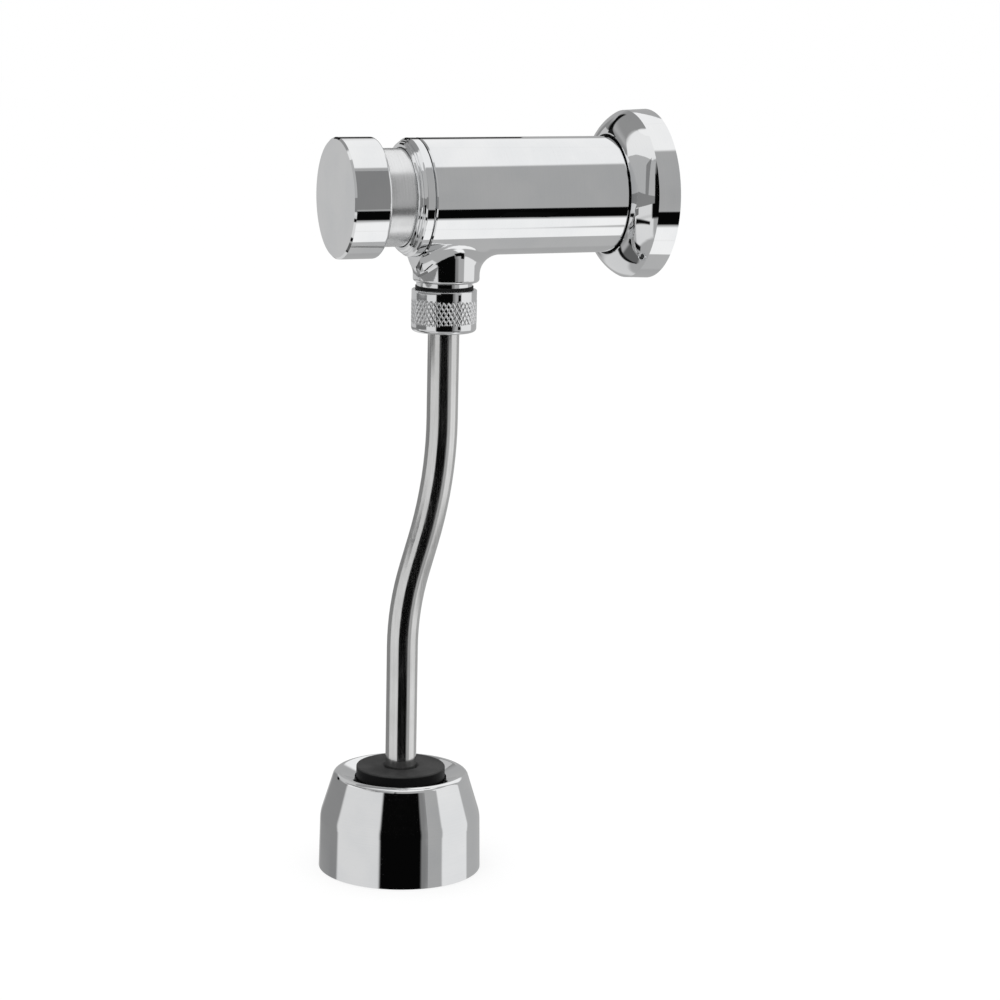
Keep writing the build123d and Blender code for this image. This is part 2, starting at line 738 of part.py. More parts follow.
# Outlet joint: neck ring, washer, tube collar, slip ring and coupling nut

# Rubber ring on the neck that covers the mouth of the nut
with BuildPart() as neck_ring:
    neck_ring_top_drop = neck_ring_bottom_drop - neck_ring_height
    revolve(turned(below_outlet,
                   (neck_shoulder_radius + seated_gap, neck_ring_top_drop),
                   (neck_ring_radius, neck_ring_top_drop),
                   (neck_ring_radius, neck_ring_bottom_drop),
                   (neck_shoulder_radius + seated_gap, neck_ring_bottom_drop)), axis=outlet_axis)

with BuildPart() as outlet_washer:
    revolve(turned(below_outlet,
                   (outlet_bore_radius, washer_top_drop),
                   (outlet_bore_radius + washer_width, washer_top_drop),
                   (outlet_bore_radius + washer_width, washer_bottom_drop),
                   (outlet_bore_radius, washer_bottom_drop)), axis=outlet_axis)

with BuildPart() as tube_collar:
    revolve(turned(below_outlet,
                   (tube_radius, tube_top_drop),
                   (tube_collar_radius, tube_top_drop),
                   (tube_collar_radius, tube_collar_bottom_drop),
                   (tube_radius, tube_collar_bottom_drop)), axis=outlet_axis)

with BuildPart() as slip_ring:
    revolve(turned(below_outlet,
                   (tube_radius + moving_gap, slip_ring_top_drop),
                   (tube_collar_radius, slip_ring_top_drop),
                   (tube_collar_radius, slip_ring_bottom_drop),
                   (tube_radius + moving_gap, slip_ring_bottom_drop)), axis=outlet_axis)

with BuildPart() as coupling_nut:
    knurl_start = nut_top_drop + knurl_top
    knurl_end = knurl_start + knurl_length
    thread_radius = neck_radius + nut_thread_gap
    revolve(turned(below_outlet,
                   (nut_mouth_radius, nut_top_drop),
                   (nut_radius - edge_break, nut_top_drop),
                   (nut_radius, nut_top_drop + edge_break),
                   (nut_radius, knurl_start),
                   (nut_radius - knurl_relief, knurl_start + knurl_relief),
                   (nut_radius - knurl_relief, knurl_end - knurl_relief),
                   (nut_radius, knurl_end),
                   (nut_radius, nut_bottom_drop),
                   (tube_radius + moving_gap, nut_bottom_drop),
                   (tube_radius + moving_gap, nut_floor_drop),
                   (thread_radius, nut_floor_drop),
                   (thread_radius, nut_top_drop + nut_mouth_depth),
                   (nut_mouth_radius, nut_top_drop + nut_mouth_depth
                    - (nut_mouth_radius - thread_radius))), axis=outlet_axis)
    fillet(coupling_nut.edges().filter_by(GeomType.CIRCLE).group_by(Axis.Z)[0]
           .sort_by(SortBy.RADIUS)[-1], nut_bottom_round)

# Flush tube, with two gentle bends that carry its foot towards the user
turn = radians(bend_angle)
bend_share = (upper_bend_radius + lower_bend_radius) * (1 - cos(turn))
slant_length = (tube_offset - bend_share) / sin(turn)
with BuildPart() as flush_tube:
    with BuildLine(Plane.YZ) as tube_line:
        upper = Line((-outlet_out, -tube_top_drop), (-outlet_out, -tube_top_drop - tube_upper_length))
        upper_bend = JernArc(upper @ 1, upper % 1, upper_bend_radius, -bend_angle)
        slant = Line(upper_bend @ 1, upper_bend @ 1 + (upper_bend % 1) * slant_length)
        lower_bend = JernArc(slant @ 1, slant % 1, lower_bend_radius, bend_angle)
        Line(lower_bend @ 1, (-foot_out, -tube_end_drop))
    with BuildSketch(level(tube_top_drop)):
        with Locations((0, -outlet_out)):
            Circle(tube_radius)
            Circle(tube_radius - tube_wall, mode=Mode.SUBTRACT)
    sweep(path=tube_line.line)
tube_section = pi * (tube_radius ** 2 - (tube_radius - tube_wall) ** 2)
tube_length = sum(edge.length for edge in tube_line.edges())
print(f"flush tube: volume {flush_tube.part.volume:.1f} mm3, "
      f"section times length {tube_section * tube_length:.1f} mm3, "
      f"bend radii {upper_bend_radius:.0f} and {lower_bend_radius:.0f} mm")

# Bell cover and what it hides

# Thin turned shell: nearly straight skirt, sloping shoulder and a slightly dished top
skirt_flare = (bell_rim_radius - bell_shoulder_radius) / (bell_rim_drop - bell_shoulder_drop)
with BuildPart() as bell_cover:
    with BuildSketch(below_foot):
        with BuildLine():
            FilletPolyline((bell_mouth_radius, bell_mouth_drop),
                           (bell_crest_radius, bell_crest_drop),
                           (bell_shoulder_radius, bell_shoulder_drop),
                           (bell_rim_radius + bell_trim * skirt_flare,
                            bell_rim_drop + bell_trim),
                           radius=(bell_crest_round, bell_shoulder_round))
            offset(amount=bell_wall, side=Side.LEFT)
        make_face()
    revolve(axis=foot_axis)
    split(bisect_by=level(bell_rim_drop))

with BuildPart() as bell_grommet:
    opening_radius = bell_mouth_radius - seated_gap
    top_slope = (bell_mouth_drop - bell_crest_drop) / (bell_crest_radius - bell_mouth_radius)
    sheet = bell_wall * sqrt(1 + top_slope ** 2)
    grommet_seat_drop = bell_mouth_drop + sheet
    grommet_bottom_drop = grommet_seat_drop + grommet_flange_thickness
    hole_radius = tube_radius + running_gap
    revolve(turned(below_foot,
                   (hole_radius, grommet_top_drop + grommet_recess_depth),
                   (grommet_recess_radius, grommet_top_drop),
                   (grommet_radius, grommet_top_drop),
                   (grommet_radius, grommet_seat_drop),
                   (grommet_flange_radius, grommet_seat_drop),
                   (grommet_flange_radius, grommet_bottom_drop),
                   (hole_radius, grommet_bottom_drop),
                   radius=(0, 0, grommet_round, 0, grommet_round, grommet_round, 0)),
            axis=foot_axis)

# Finned rubber sleeve on the tube's end
with BuildPart() as spud_seal:
    revolve(turned(below_foot,
                   (tube_radius, spud_seal_drop),
                   (spud_seal_hub_radius, spud_seal_drop),
                   (spud_seal_hub_radius, spud_seal_drop + spud_seal_length),
                   (tube_radius, spud_seal_drop + spud_seal_length)), axis=foot_axis)
    for lip in range(spud_lip_count):
        lip_top = spud_seal_drop + spud_first_lip + lip * spud_lip_pitch
        revolve(turned(below_foot,
                       (tube_radius + tube_wall, lip_top),
                       (spud_lip_radius, lip_top),
                       (spud_lip_radius, lip_top + spud_lip_thickness),
                       (tube_radius + tube_wall, lip_top + spud_lip_thickness)), axis=foot_axis)

pieces = {
    "valve_body": valve_body,
    "inlet_nipple": inlet_nipple,
    "inlet_gasket": inlet_gasket,
    "inlet_filter": inlet_filter,
    "flow_limiter": flow_limiter,
    "front_collar": front_collar,
    "cartridge_cap": cartridge_cap,
    "cap_o_ring": cap_o_ring,
    "stem_o_ring": stem_o_ring,
    "cartridge_housing": cartridge_housing,
    "housing_o_ring": housing_o_ring,
    "timer_cylinder": timer_cylinder,
    "metering_screw": metering_screw,
    "return_spring": return_spring,
    "push_button": push_button,
    "button_skirt": button_skirt,
    "button_stem": button_stem,
    "main_seal": main_seal,
    "seal_carrier": seal_carrier,
    "timer_piston": timer_piston,
    "cup_seal": cup_seal,
    "stem_lock_nut": stem_lock_nut,
    "wall_flange": wall_flange,
    "flange_ring": flange_ring,
    "neck_ring": neck_ring,
    "outlet_washer": outlet_washer,
    "slip_ring": slip_ring,
    "coupling_nut": coupling_nut,
    "tube_collar": tube_collar,
    "flush_tube": flush_tube,
    "bell_cover": bell_cover,
    "bell_grommet": bell_grommet,
    "spud_seal": spud_seal,
}
for label, piece in pieces.items():
    piece.part.label = label
    export_step(piece.part, f"parts/{label}.step")
    print(f"{label}: {len(piece.part.solids())} solid, {piece.part.volume:.0f} mm3")
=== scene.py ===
# Push-button flush valve with its flush tube and bell cover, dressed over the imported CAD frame.
# In metres, but the settings of the pieces made here are in millimetres. The valve's axis is Y, the user
# stands at -Y, Z is up.
import math

import bmesh
import bpy
import numpy as np
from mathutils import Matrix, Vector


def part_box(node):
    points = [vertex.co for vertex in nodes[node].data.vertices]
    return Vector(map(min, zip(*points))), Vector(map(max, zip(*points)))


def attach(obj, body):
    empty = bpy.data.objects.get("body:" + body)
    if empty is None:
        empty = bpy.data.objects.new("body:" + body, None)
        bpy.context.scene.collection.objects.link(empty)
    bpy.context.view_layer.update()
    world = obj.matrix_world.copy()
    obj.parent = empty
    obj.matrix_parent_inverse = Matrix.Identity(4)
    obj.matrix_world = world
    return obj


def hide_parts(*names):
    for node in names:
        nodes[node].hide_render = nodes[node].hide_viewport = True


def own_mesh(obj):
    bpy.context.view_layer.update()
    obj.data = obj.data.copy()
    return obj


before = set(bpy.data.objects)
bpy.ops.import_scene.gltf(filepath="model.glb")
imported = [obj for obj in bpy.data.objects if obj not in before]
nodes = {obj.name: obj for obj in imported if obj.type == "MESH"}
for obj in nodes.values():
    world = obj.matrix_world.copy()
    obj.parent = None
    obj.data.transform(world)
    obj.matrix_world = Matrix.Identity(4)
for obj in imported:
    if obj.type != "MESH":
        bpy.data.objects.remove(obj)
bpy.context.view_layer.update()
mm = 0.001
outletPlace = (0.0, -0.0874, 0.0)    # the outlet's axis runs down from here
footPlace = (0.0, -0.10318, 0.0)     # the bell's axis runs down from here
sharpAngle = math.radians(35)        # an edge that turns more than this is shaded sharp
straightAngle = math.radians(178)    # a flatter corner gets no arc
arcStep = math.radians(15)           # the longest part of a corner's arc
sameRadius = 0.01                    # millimetres, radii this near each other count as one
print("frame loaded,", len(nodes), "nodes")


def addObject(name, data):
    item = bpy.data.objects.new(name, data)
    bpy.context.scene.collection.objects.link(item)
    return item


def closedGrid(name, points, closeRows=True):
    # A grid of points (rows, columns, xyz) made a mesh; its columns always close on themselves, its rows
    # close too for a ring-shaped piece. The sign of the enclosed volume tells which way the faces point.
    rows, columns = points.shape[:2]
    index = np.arange(rows * columns).reshape(rows, columns)
    nextColumn = np.roll(index, -1, axis=1)
    if closeRows:
        lower, lowerNext = np.roll(index, -1, axis=0), np.roll(nextColumn, -1, axis=0)
        quads = np.stack([index, nextColumn, lowerNext, lower], axis=-1).reshape(-1, 4)
    else:
        quads = np.stack([index[:-1], nextColumn[:-1], nextColumn[1:], index[1:]], axis=-1).reshape(-1, 4)
    flat = points.reshape(-1, 3)
    corners = flat[quads]
    square = np.cross(corners[:, 1] - corners[:, 3], corners[:, 2] - corners[:, 0])
    volume = np.einsum("ij,ij->", corners[:, 0], square)
    if volume > 0:
        quads = quads[:, ::-1]
    mesh = bpy.data.meshes.new(name)
    mesh.vertices.add(len(flat))
    mesh.vertices.foreach_set("co", flat.astype(np.float32).ravel())
    mesh.loops.add(quads.size)
    mesh.loops.foreach_set("vertex_index", quads.astype(np.int32).ravel())
    mesh.polygons.add(len(quads))
    mesh.polygons.foreach_set("loop_start", np.arange(0, quads.size, 4, dtype=np.int32))
    mesh.update(calc_edges=True)
    mesh.validate()
    mesh.polygons.foreach_set("use_smooth", np.ones(len(quads), dtype=bool))
    mesh.set_sharp_from_angle(angle=sharpAngle)
    return addObject(name, mesh)


def roundedProfile(corners, rounds, step, closed=True):
    # A polyline (along, radius) whose corners are arcs of the given radii, then divided so that no part
    # is longer than step, which is one number or one for each corner and the side after it. An arc touches
    # both sides at the radius times the tangent of half the turn.
    corners = np.array(corners, float)
    count = len(corners)
    steps = np.broadcast_to(step, count)
    path = []
    for i in range(count):
        here, before, after = corners[i], corners[i - 1], corners[(i + 1) % count]
        toBefore, toAfter = before - here, after - here
        toBefore, toAfter = toBefore / np.linalg.norm(toBefore), toAfter / np.linalg.norm(toAfter)
        inner = math.acos(max(-1.0, min(1.0, float(toBefore @ toAfter))))
        if rounds[i] <= 0 or inner > straightAngle:
            path.append(here[None, :])
            continue
        reach = rounds[i] / math.tan(inner / 2)
        middle = toBefore + toAfter
        centre = here + middle / np.linalg.norm(middle) * (rounds[i] / math.sin(inner / 2))
        first, last = here + toBefore * reach - centre, here + toAfter * reach - centre
        turn = math.atan2(first[0] * last[1] - first[1] * last[0], float(first @ last))
        angles = np.linspace(0, turn, max(3, int(abs(turn) / arcStep) + 2))
        cosine, sine = np.cos(angles), np.sin(angles)
        x = first[0] * cosine - first[1] * sine
        y = first[0] * sine + first[1] * cosine
        path.append(np.stack([x, y], axis=-1) + centre)
    stepAfter = np.repeat(steps, [len(part) for part in path])
    path = np.concatenate(path)
    if closed:
        path = np.concatenate([path, path[:1]])
    lengths = np.linalg.norm(np.diff(path, axis=0), axis=1)
    parts = np.maximum(1, np.ceil(lengths / stepAfter[:len(lengths)]).astype(int))
    start = np.repeat(np.arange(len(parts)), parts)
    share = np.concatenate([np.arange(n) / n for n in parts])
    dense = path[start] + (path[start + 1] - path[start]) * share[:, None]
    return dense if closed else np.concatenate([dense, path[-1:]])


def aboutY(along, radius, angle):
    # Turned about the valve's axis: along is the distance from the wall towards the user
    return np.stack([radius * np.cos(angle), -along + 0 * angle, radius * np.sin(angle)], axis=-1) * mm


def aboutDrop(place):
    # Turned about a vertical axis through place: along is the drop below the valve's axis
    def turn(along, radius, angle):
        x, y = radius * mm * np.cos(angle) + place[0], radius * mm * np.sin(angle) + place[1]
        return np.stack([x, y, -along * mm + 0 * angle], axis=-1)
    return turn


def turnedPiece(name, profile, turn, columns, change=None):
    # A profile carried round its axis; change moves the radius by a function of place and angle
    angle = np.linspace(0, 2 * math.pi, columns, endpoint=False)[None, :]
    along, radius = profile[:, :1] + 0 * angle, profile[:, 1:] + 0 * angle
    if change is not None:
        radius = change(along, radius, angle)
    return closedGrid(name, turn(along, radius, angle + 0 * along))


def threadDepth(along, angle, pitch, flank=0.62):
    # One start: a wave that climbs one pitch a turn, 0 at the crest and 1 at the root, both of them flat.
    # flank is the share of the pitch that its slopes take.
    phase = np.abs((along / pitch - angle / (2 * math.pi)) % 1.0 - 0.5) * 2
    return np.clip((phase - (1 - flank) / 2) / flank, 0, 1)


def fadeIn(value, start, length):
    # 0 before start, 1 after start plus length, smooth between
    share = np.clip((value - start) / length, 0, 1)
    return share * share * (3 - 2 * share)


# The coupling nut has a band of diamond knurling between two plain bands

couplingNut = {
    "radius": 13.14, "top": 37.03, "bottom": 54.05,
    "mouthRadius": 11.8, "mouthDepth": 3.2, "mouthBevel": 1.0,
    "threadRadius": 10.76, "threadDepth": 0.62, "pitch": 1.814,
    "leadIn": 0.8, "runOut": 1.2, "runOutLength": 1.0,
    "floor": 2.4, "tubeHole": 6.65,
    "topRound": 0.45, "bottomRound": 1.6, "mouthRound": 0.2, "holeRound": 0.3, "innerRound": 0.1,
    "knurlTop": 4.05, "knurlLength": 9.3, "knurlDepth": 0.25, "knurlFade": 0.3,
    "knurlProud": 0.05,  # how far the diamonds stand out of the plain bands
    "diamondsAround": 41, "diamondHeight": 3.26,
    "flatness": 2.7,     # a diamond's flat top starts at one over this of the way from groove to middle
    "columnsPerDiamond": 12, "knurlStep": 0.13, "threadStep": 0.24, "plainStep": 0.8,
}


def knurlHeight(s, along, angle, start):
    # Two families of grooves cross. The height is the distance to the nearer groove, held at a limit, so
    # each cell is a four-sided pyramid with a flat top.
    a = s["diamondsAround"] * angle / (2 * math.pi)
    b = (along - start) / s["diamondHeight"]
    first = np.abs(((a + b) % 1.0) - 0.5) * 2
    second = np.abs(((a - b) % 1.0) - 0.5) * 2
    pyramid = np.clip(np.minimum(first, second) * s["flatness"], 0, 1)
    fade = s["knurlFade"]
    end = start + s["knurlLength"] - fade
    return pyramid, np.minimum(fadeIn(along, start, fade), 1 - fadeIn(along, end, fade))


def makeCouplingNut(s):
    floor = s["bottom"] - s["floor"]
    mouthEnd = s["top"] + s["mouthDepth"]
    knurlStart = s["top"] + s["knurlTop"]
    corners = [(s["top"], s["mouthRadius"]), (s["top"], s["radius"]), (knurlStart, s["radius"]),
               (knurlStart + s["knurlLength"], s["radius"]), (s["bottom"], s["radius"]),
               (s["bottom"], s["tubeHole"]), (floor, s["tubeHole"]), (floor, s["threadRadius"]),
               (mouthEnd, s["threadRadius"]), (mouthEnd - s["mouthBevel"], s["mouthRadius"])]
    rounds = (s["mouthRound"], s["topRound"], 0, 0, s["bottomRound"], s["holeRound"], s["innerRound"], 0,
              s["innerRound"], 0)
    plain = s["plainStep"]
    steps = (plain, plain, s["knurlStep"], plain, plain, plain, plain, s["threadStep"], plain, plain)
    profile = roundedProfile(corners, rounds, steps)

    def change(along, radius, angle):
        outside = radius > s["radius"] - sameRadius
        pyramid, ends = knurlHeight(s, along, angle, knurlStart)
        knurled = radius + s["knurlProud"] - s["knurlDepth"] * (1 - pyramid)
        inKnurl = outside & (along > knurlStart) & (along < knurlStart + s["knurlLength"])
        radius = np.where(inKnurl, radius + (knurled - radius) * ends, radius)
        threaded = np.abs(radius - s["threadRadius"]) < sameRadius
        depth = s["threadDepth"] * threadDepth(along, angle, s["pitch"])
        depth = depth * fadeIn(along, mouthEnd, s["leadIn"])
        depth = depth * (1 - fadeIn(along, floor - s["runOut"], s["runOutLength"]))
        return np.where(threaded, radius + depth, radius)

    piece = turnedPiece("coupling_nut_knurled", profile, aboutDrop(outletPlace),
                        s["diamondsAround"] * s["columnsPerDiamond"], change)
    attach(piece, "nut")
    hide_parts("coupling_nut")
    return piece


nutPiece = makeCouplingNut(couplingNut)
print("coupling nut made,", len(nutPiece.data.polygons), "faces")


# The outlet neck's thread shows when the nut is unscrewed

neckThread = {
    "inner": 10.1, "root": 10.36, "crest": 10.66, "top": 39.6, "bottom": 45.1, "pitch": 1.814,
    "leadIn": 1.0, "runOut": 0.7, "step": 0.1, "columns": 240,
}


def makeNeckThread(s):
    corners = [(s["top"], s["inner"]), (s["top"], s["root"]), (s["bottom"], s["root"]),
               (s["bottom"], s["inner"])]
    profile = roundedProfile(corners, (0, 0, 0, 0), s["step"])

    def change(along, radius, angle):
        height = (s["crest"] - s["root"]) * (1 - threadDepth(along, angle, s["pitch"]))
        runOut = fadeIn(along, s["bottom"] - s["runOut"], s["runOut"])
        ends = fadeIn(along, s["top"], s["leadIn"]) * (1 - runOut)
        return np.where(radius > s["root"] - sameRadius, radius + height * ends, radius)

    piece = turnedPiece("outlet_neck_thread", profile, aboutDrop(outletPlace), s["columns"], change)
    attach(piece, "valve")
    return piece


neckPiece = makeNeckThread(neckThread)
print("neck thread made")


# The inlet nipple has a pipe thread at the wall end and a hexagon for the spanner

inletNipple = {
    "end": -10.5, "thread": 10.48, "pitch": 1.814, "depth": 0.95,
    "firstDepth": 0.35,  # the share of the depth that the thread has at its end
    "leadIn": 1.2, "runOut": 2.2, "runOutLength": 1.6,
    "hexStart": 3.0, "hexEnd": 8.0, "hexCorner": 12.7, "hexChamfer": 0.55, "chamferSlope": 1.9,
    "hexFrom": 0.3,      # over the thread, where the hexagon's shape begins
    "spigot": 9.4, "spigotEnd": 18.0, "bore": 6.5, "recess": 8.05, "recessDepth": 2.4,
    "mouthRound": 0.2, "threadRound": 0.5, "spigotRound": 0.3, "seatRound": 0.15,
    "columns": 288, "step": 0.13, "plainStep": 1.0,
}


def makeInletNipple(s):
    corners = [(s["end"], s["recess"]), (s["end"], s["thread"]), (s["hexStart"], s["thread"]),
               (s["hexStart"], s["hexCorner"]), (s["hexEnd"], s["hexCorner"]), (s["hexEnd"], s["spigot"]),
               (s["spigotEnd"], s["spigot"]), (s["spigotEnd"], s["bore"]),
               (s["end"] + s["recessDepth"], s["bore"]), (s["end"] + s["recessDepth"], s["recess"])]
    fine, plain = s["step"], s["plainStep"]
    steps = (plain, fine, fine, fine, fine, plain, plain, plain, plain, plain)
    rounds = (s["mouthRound"], s["threadRound"], 0, 0, 0, 0, s["spigotRound"], s["spigotRound"],
              s["seatRound"], 0)
    profile = roundedProfile(corners, rounds, steps)

    def change(along, radius, angle):
        isHex = radius > s["thread"] + s["hexFrom"]
        # six flats, whose distance grows as one over the cosine of the angle from the middle of the
        # nearest flat, held inside a cone at each end
        fromFlat = (angle + math.pi / 6) % (math.pi / 3) - math.pi / 6
        flats = s["hexCorner"] * math.cos(math.pi / 6) / np.cos(fromFlat)
        endGap = np.minimum(along - s["hexStart"], s["hexEnd"] - along)
        cone = s["hexCorner"] - s["hexChamfer"] + np.maximum(endGap, 0) * s["chamferSlope"]
        share = np.clip((radius - s["thread"]) / (s["hexCorner"] - s["thread"]), 0, 1)
        hexagon = np.minimum(s["thread"] + (np.minimum(flats, cone) - s["thread"]) * share, radius)
        threaded = np.abs(radius - s["thread"]) < 2 * sameRadius
        depth = s["depth"] * threadDepth(along, angle, s["pitch"])
        depth = depth * (1 - fadeIn(along, s["hexStart"] - s["runOut"], s["runOutLength"]))
        depth = depth * (s["firstDepth"] + (1 - s["firstDepth"]) * fadeIn(along, s["end"], s["leadIn"]))
        radius = np.where(isHex, hexagon, radius)
        return np.where(threaded, radius - depth, radius)

    piece = turnedPiece("inlet_nipple_threaded", profile, aboutY, s["columns"], change)
    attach(piece, "valve")
    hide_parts("inlet_nipple")
    return piece


nipplePiece = makeInletNipple(inletNipple)
print("inlet nipple made,", len(nipplePiece.data.polygons), "faces")


# The front collar is turned with two fine grooves on its coned nose

frontCollar = {
    "rear": 96.2, "threadRadius": 21.25, "shoulder": 100.35, "radius": 23.55, "nose": 104.35,
    "tip": 106.85, "tipRadius": 20.9, "bore": 19.8, "bevel": 0.5, "edgeRound": 0.12, "boreRound": 0.2,
    "grooveDepth": 0.28, "grooveWidth": 0.42, "grooves": (0.34, 0.68), "bulge": 0.22,
    "noseRows": 33, "step": 0.3, "boreStep": 0.4, "columns": 256,
}


def makeFrontCollar(s):
    bevelRadius = s["radius"] - s["bevel"]
    cone = np.array([s["tip"] - s["nose"], s["tipRadius"] - bevelRadius])
    length = np.linalg.norm(cone)
    share = np.linspace(0, 1, s["noseRows"])
    out = np.array([-cone[1], cone[0]]) / length    # square to the cone, away from the metal
    lift = s["bulge"] * np.sin(math.pi * share)
    for place in s["grooves"]:
        fromGroove = np.abs(share - place) * length
        lift = lift - s["grooveDepth"] * np.clip(1 - fromGroove / s["grooveWidth"] * 2, 0, 1)
    nose = np.array([s["nose"], bevelRadius]) + share[:, None] * cone + lift[:, None] * out
    edge = s["edgeRound"]
    before = roundedProfile([(s["rear"], s["threadRadius"]), (s["shoulder"], s["threadRadius"]),
                             (s["shoulder"], bevelRadius), (s["shoulder"] + s["bevel"], s["radius"]),
                             (s["nose"] - s["bevel"], s["radius"]), (s["nose"], bevelRadius)],
                            (0, 0, edge, edge, edge, 0), s["step"], closed=False)[:-1]
    after = roundedProfile([(s["tip"], s["tipRadius"]), (s["tip"], s["bore"]), (s["rear"], s["bore"])],
                           (0, s["boreRound"], 0), s["boreStep"], closed=False)[1:]
    piece = turnedPiece("front_collar_turned", np.concatenate([before, nose, after]), aboutY, s["columns"])
    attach(piece, "valve")
    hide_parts("front_collar")
    return piece


collarPiece = makeFrontCollar(frontCollar)
print("front collar made")


# The rubber sleeve has four soft fins that seal in the urinal's inlet

spudSleeve = {
    "top": 250.0, "length": 23.0, "hub": 12.0, "tube": 6.35, "finRadius": 17.4, "finThickness": 2.5,
    "finPitch": 5.5, "fins": 4, "firstFin": 3.0, "finTaper": 0.35,
    "topRound": 0.6, "rootRound": 0.5, "finRound": 0.7, "step": 0.8, "columns": 160,
}


def makeSpudSleeve(s):
    corners, rounds = [(s["top"], s["tube"]), (s["top"], s["hub"])], [0, s["topRound"]]
    for i in range(s["fins"]):
        start = s["top"] + s["firstFin"] + i * s["finPitch"]
        end = start + s["finThickness"]
        corners += [(start, s["hub"]), (start + s["finTaper"], s["finRadius"]),
                    (end - s["finTaper"], s["finRadius"]), (end, s["hub"])]
        rounds += [s["rootRound"], s["finRound"], s["finRound"], s["rootRound"]]
    corners += [(s["top"] + s["length"], s["hub"]), (s["top"] + s["length"], s["tube"])]
    rounds += [s["rootRound"], 0]
    profile = roundedProfile(corners, rounds, s["step"])
    piece = turnedPiece("spud_sleeve_finned", profile, aboutDrop(footPlace), s["columns"])
    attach(piece, "tube")
    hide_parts("spud_seal")
    return piece


sleevePiece = makeSpudSleeve(spudSleeve)
print("rubber sleeve made")


# The return spring stands between the cap and the button

returnSpring = {
    "radius": 11.5, "wire": 1.6, "turns": 7,
    "closing": 0.5,      # how much less the end turns rise, as a share
    "stroke": 7.0,       # how much shorter it is when the button is in
    "rowsPerTurn": 72, "sides": 18, "weld": 0.001,
}


def makeReturnSpring(s):
    # The wire's middle goes round by a = 2 pi t in t turns and rises by
    # rise * (t / turns - closing * sin(a / turns) / (2 pi)), so that the end turns lie closer together.
    # Its round section stands square to that line.
    low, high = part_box("return_spring")
    length = (high[1] - low[1]) / mm
    rise = length - s["wire"]
    turn = np.linspace(0, s["turns"], s["turns"] * s["rowsPerTurn"] + 1)
    a = 2 * math.pi * turn
    up = rise * (turn / s["turns"] - s["closing"] * np.sin(a / s["turns"]) / (2 * math.pi))
    slope = rise / (2 * math.pi * s["turns"]) * (1 - s["closing"] * np.cos(a / s["turns"]))
    outwards = np.stack([np.cos(a), 0 * a, np.sin(a)], axis=-1)
    heading = np.stack([-s["radius"] * np.sin(a), -slope, s["radius"] * np.cos(a)], axis=-1)
    heading = heading / np.linalg.norm(heading, axis=-1, keepdims=True)
    middle = s["radius"] * outwards
    middle[:, 1] = high[1] / mm - s["wire"] / 2 - up
    # the first and last rows shrink to a point, which closes the wire's ends
    middle = np.concatenate([middle[:1], middle, middle[-1:]])
    outwards = np.concatenate([outwards[:1], outwards, outwards[-1:]])
    heading = np.concatenate([heading[:1], heading, heading[-1:]])
    reach = np.full(len(middle), s["wire"] / 2)
    reach[[0, -1]] = 0.0
    b = np.linspace(0, 2 * math.pi, s["sides"], endpoint=False)[None, :, None]
    square = np.cross(heading, outwards)
    section = np.cos(b) * outwards[:, None] + np.sin(b) * square[:, None]
    piece = closedGrid("return_spring_coil", (middle[:, None] + reach[:, None, None] * section) * mm, False)
    ends = bmesh.new()
    ends.from_mesh(piece.data)
    bmesh.ops.remove_doubles(ends, verts=ends.verts, dist=s["weld"] * mm)
    ends.to_mesh(piece.data)
    ends.free()
    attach(piece, "valve")
    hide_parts("return_spring")
    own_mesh(piece)
    return piece


springPiece = makeReturnSpring(returnSpring)
print("return spring made")


def addNode(tree, kind, **settings):
    node = tree.nodes.new("ShaderNode" + kind)
    for key, value in settings.items():
        setattr(node, key, value)
    return node


def feed(tree, socket, value):
    # A socket takes another node's output or a plain value
    if isinstance(value, bpy.types.NodeSocket):
        tree.links.new(value, socket)
    else:
        socket.default_value = value


def math2(tree, operation, a, b=0.0):
    node = addNode(tree, "Math", operation=operation)
    feed(tree, node.inputs[0], a)
    feed(tree, node.inputs[1], b)
    return node.outputs[0]


def vector2(tree, operation, a, b, output="Vector"):
    node = addNode(tree, "VectorMath", operation=operation)
    feed(tree, node.inputs[0], a)
    if b is not None:
        feed(tree, node.inputs[1], b)
    return node.outputs[output]


def spread(tree, value, low, high, newLow, newHigh, smooth=True):
    node = addNode(tree, "MapRange", interpolation_type="SMOOTHSTEP" if smooth else "LINEAR")
    feed(tree, node.inputs["Value"], value)
    for key, number in (("From Min", low), ("From Max", high), ("To Min", newLow), ("To Max", newHigh)):
        node.inputs[key].default_value = number
    return node.outputs["Result"]


def noise(tree, place, scale, detail, roughness, distortion=0.0):
    node = addNode(tree, "TexNoise")
    feed(tree, node.inputs["Vector"], place)
    node.inputs["Scale"].default_value = scale
    node.inputs["Detail"].default_value = detail
    node.inputs["Roughness"].default_value = roughness
    node.inputs["Distortion"].default_value = distortion
    return node.outputs["Fac"]


def emptyMaterial(name):
    material = bpy.data.materials.new(name)
    material.use_nodes = True
    tree = material.node_tree
    tree.nodes.clear()
    return material, tree, addNode(tree, "OutputMaterial")


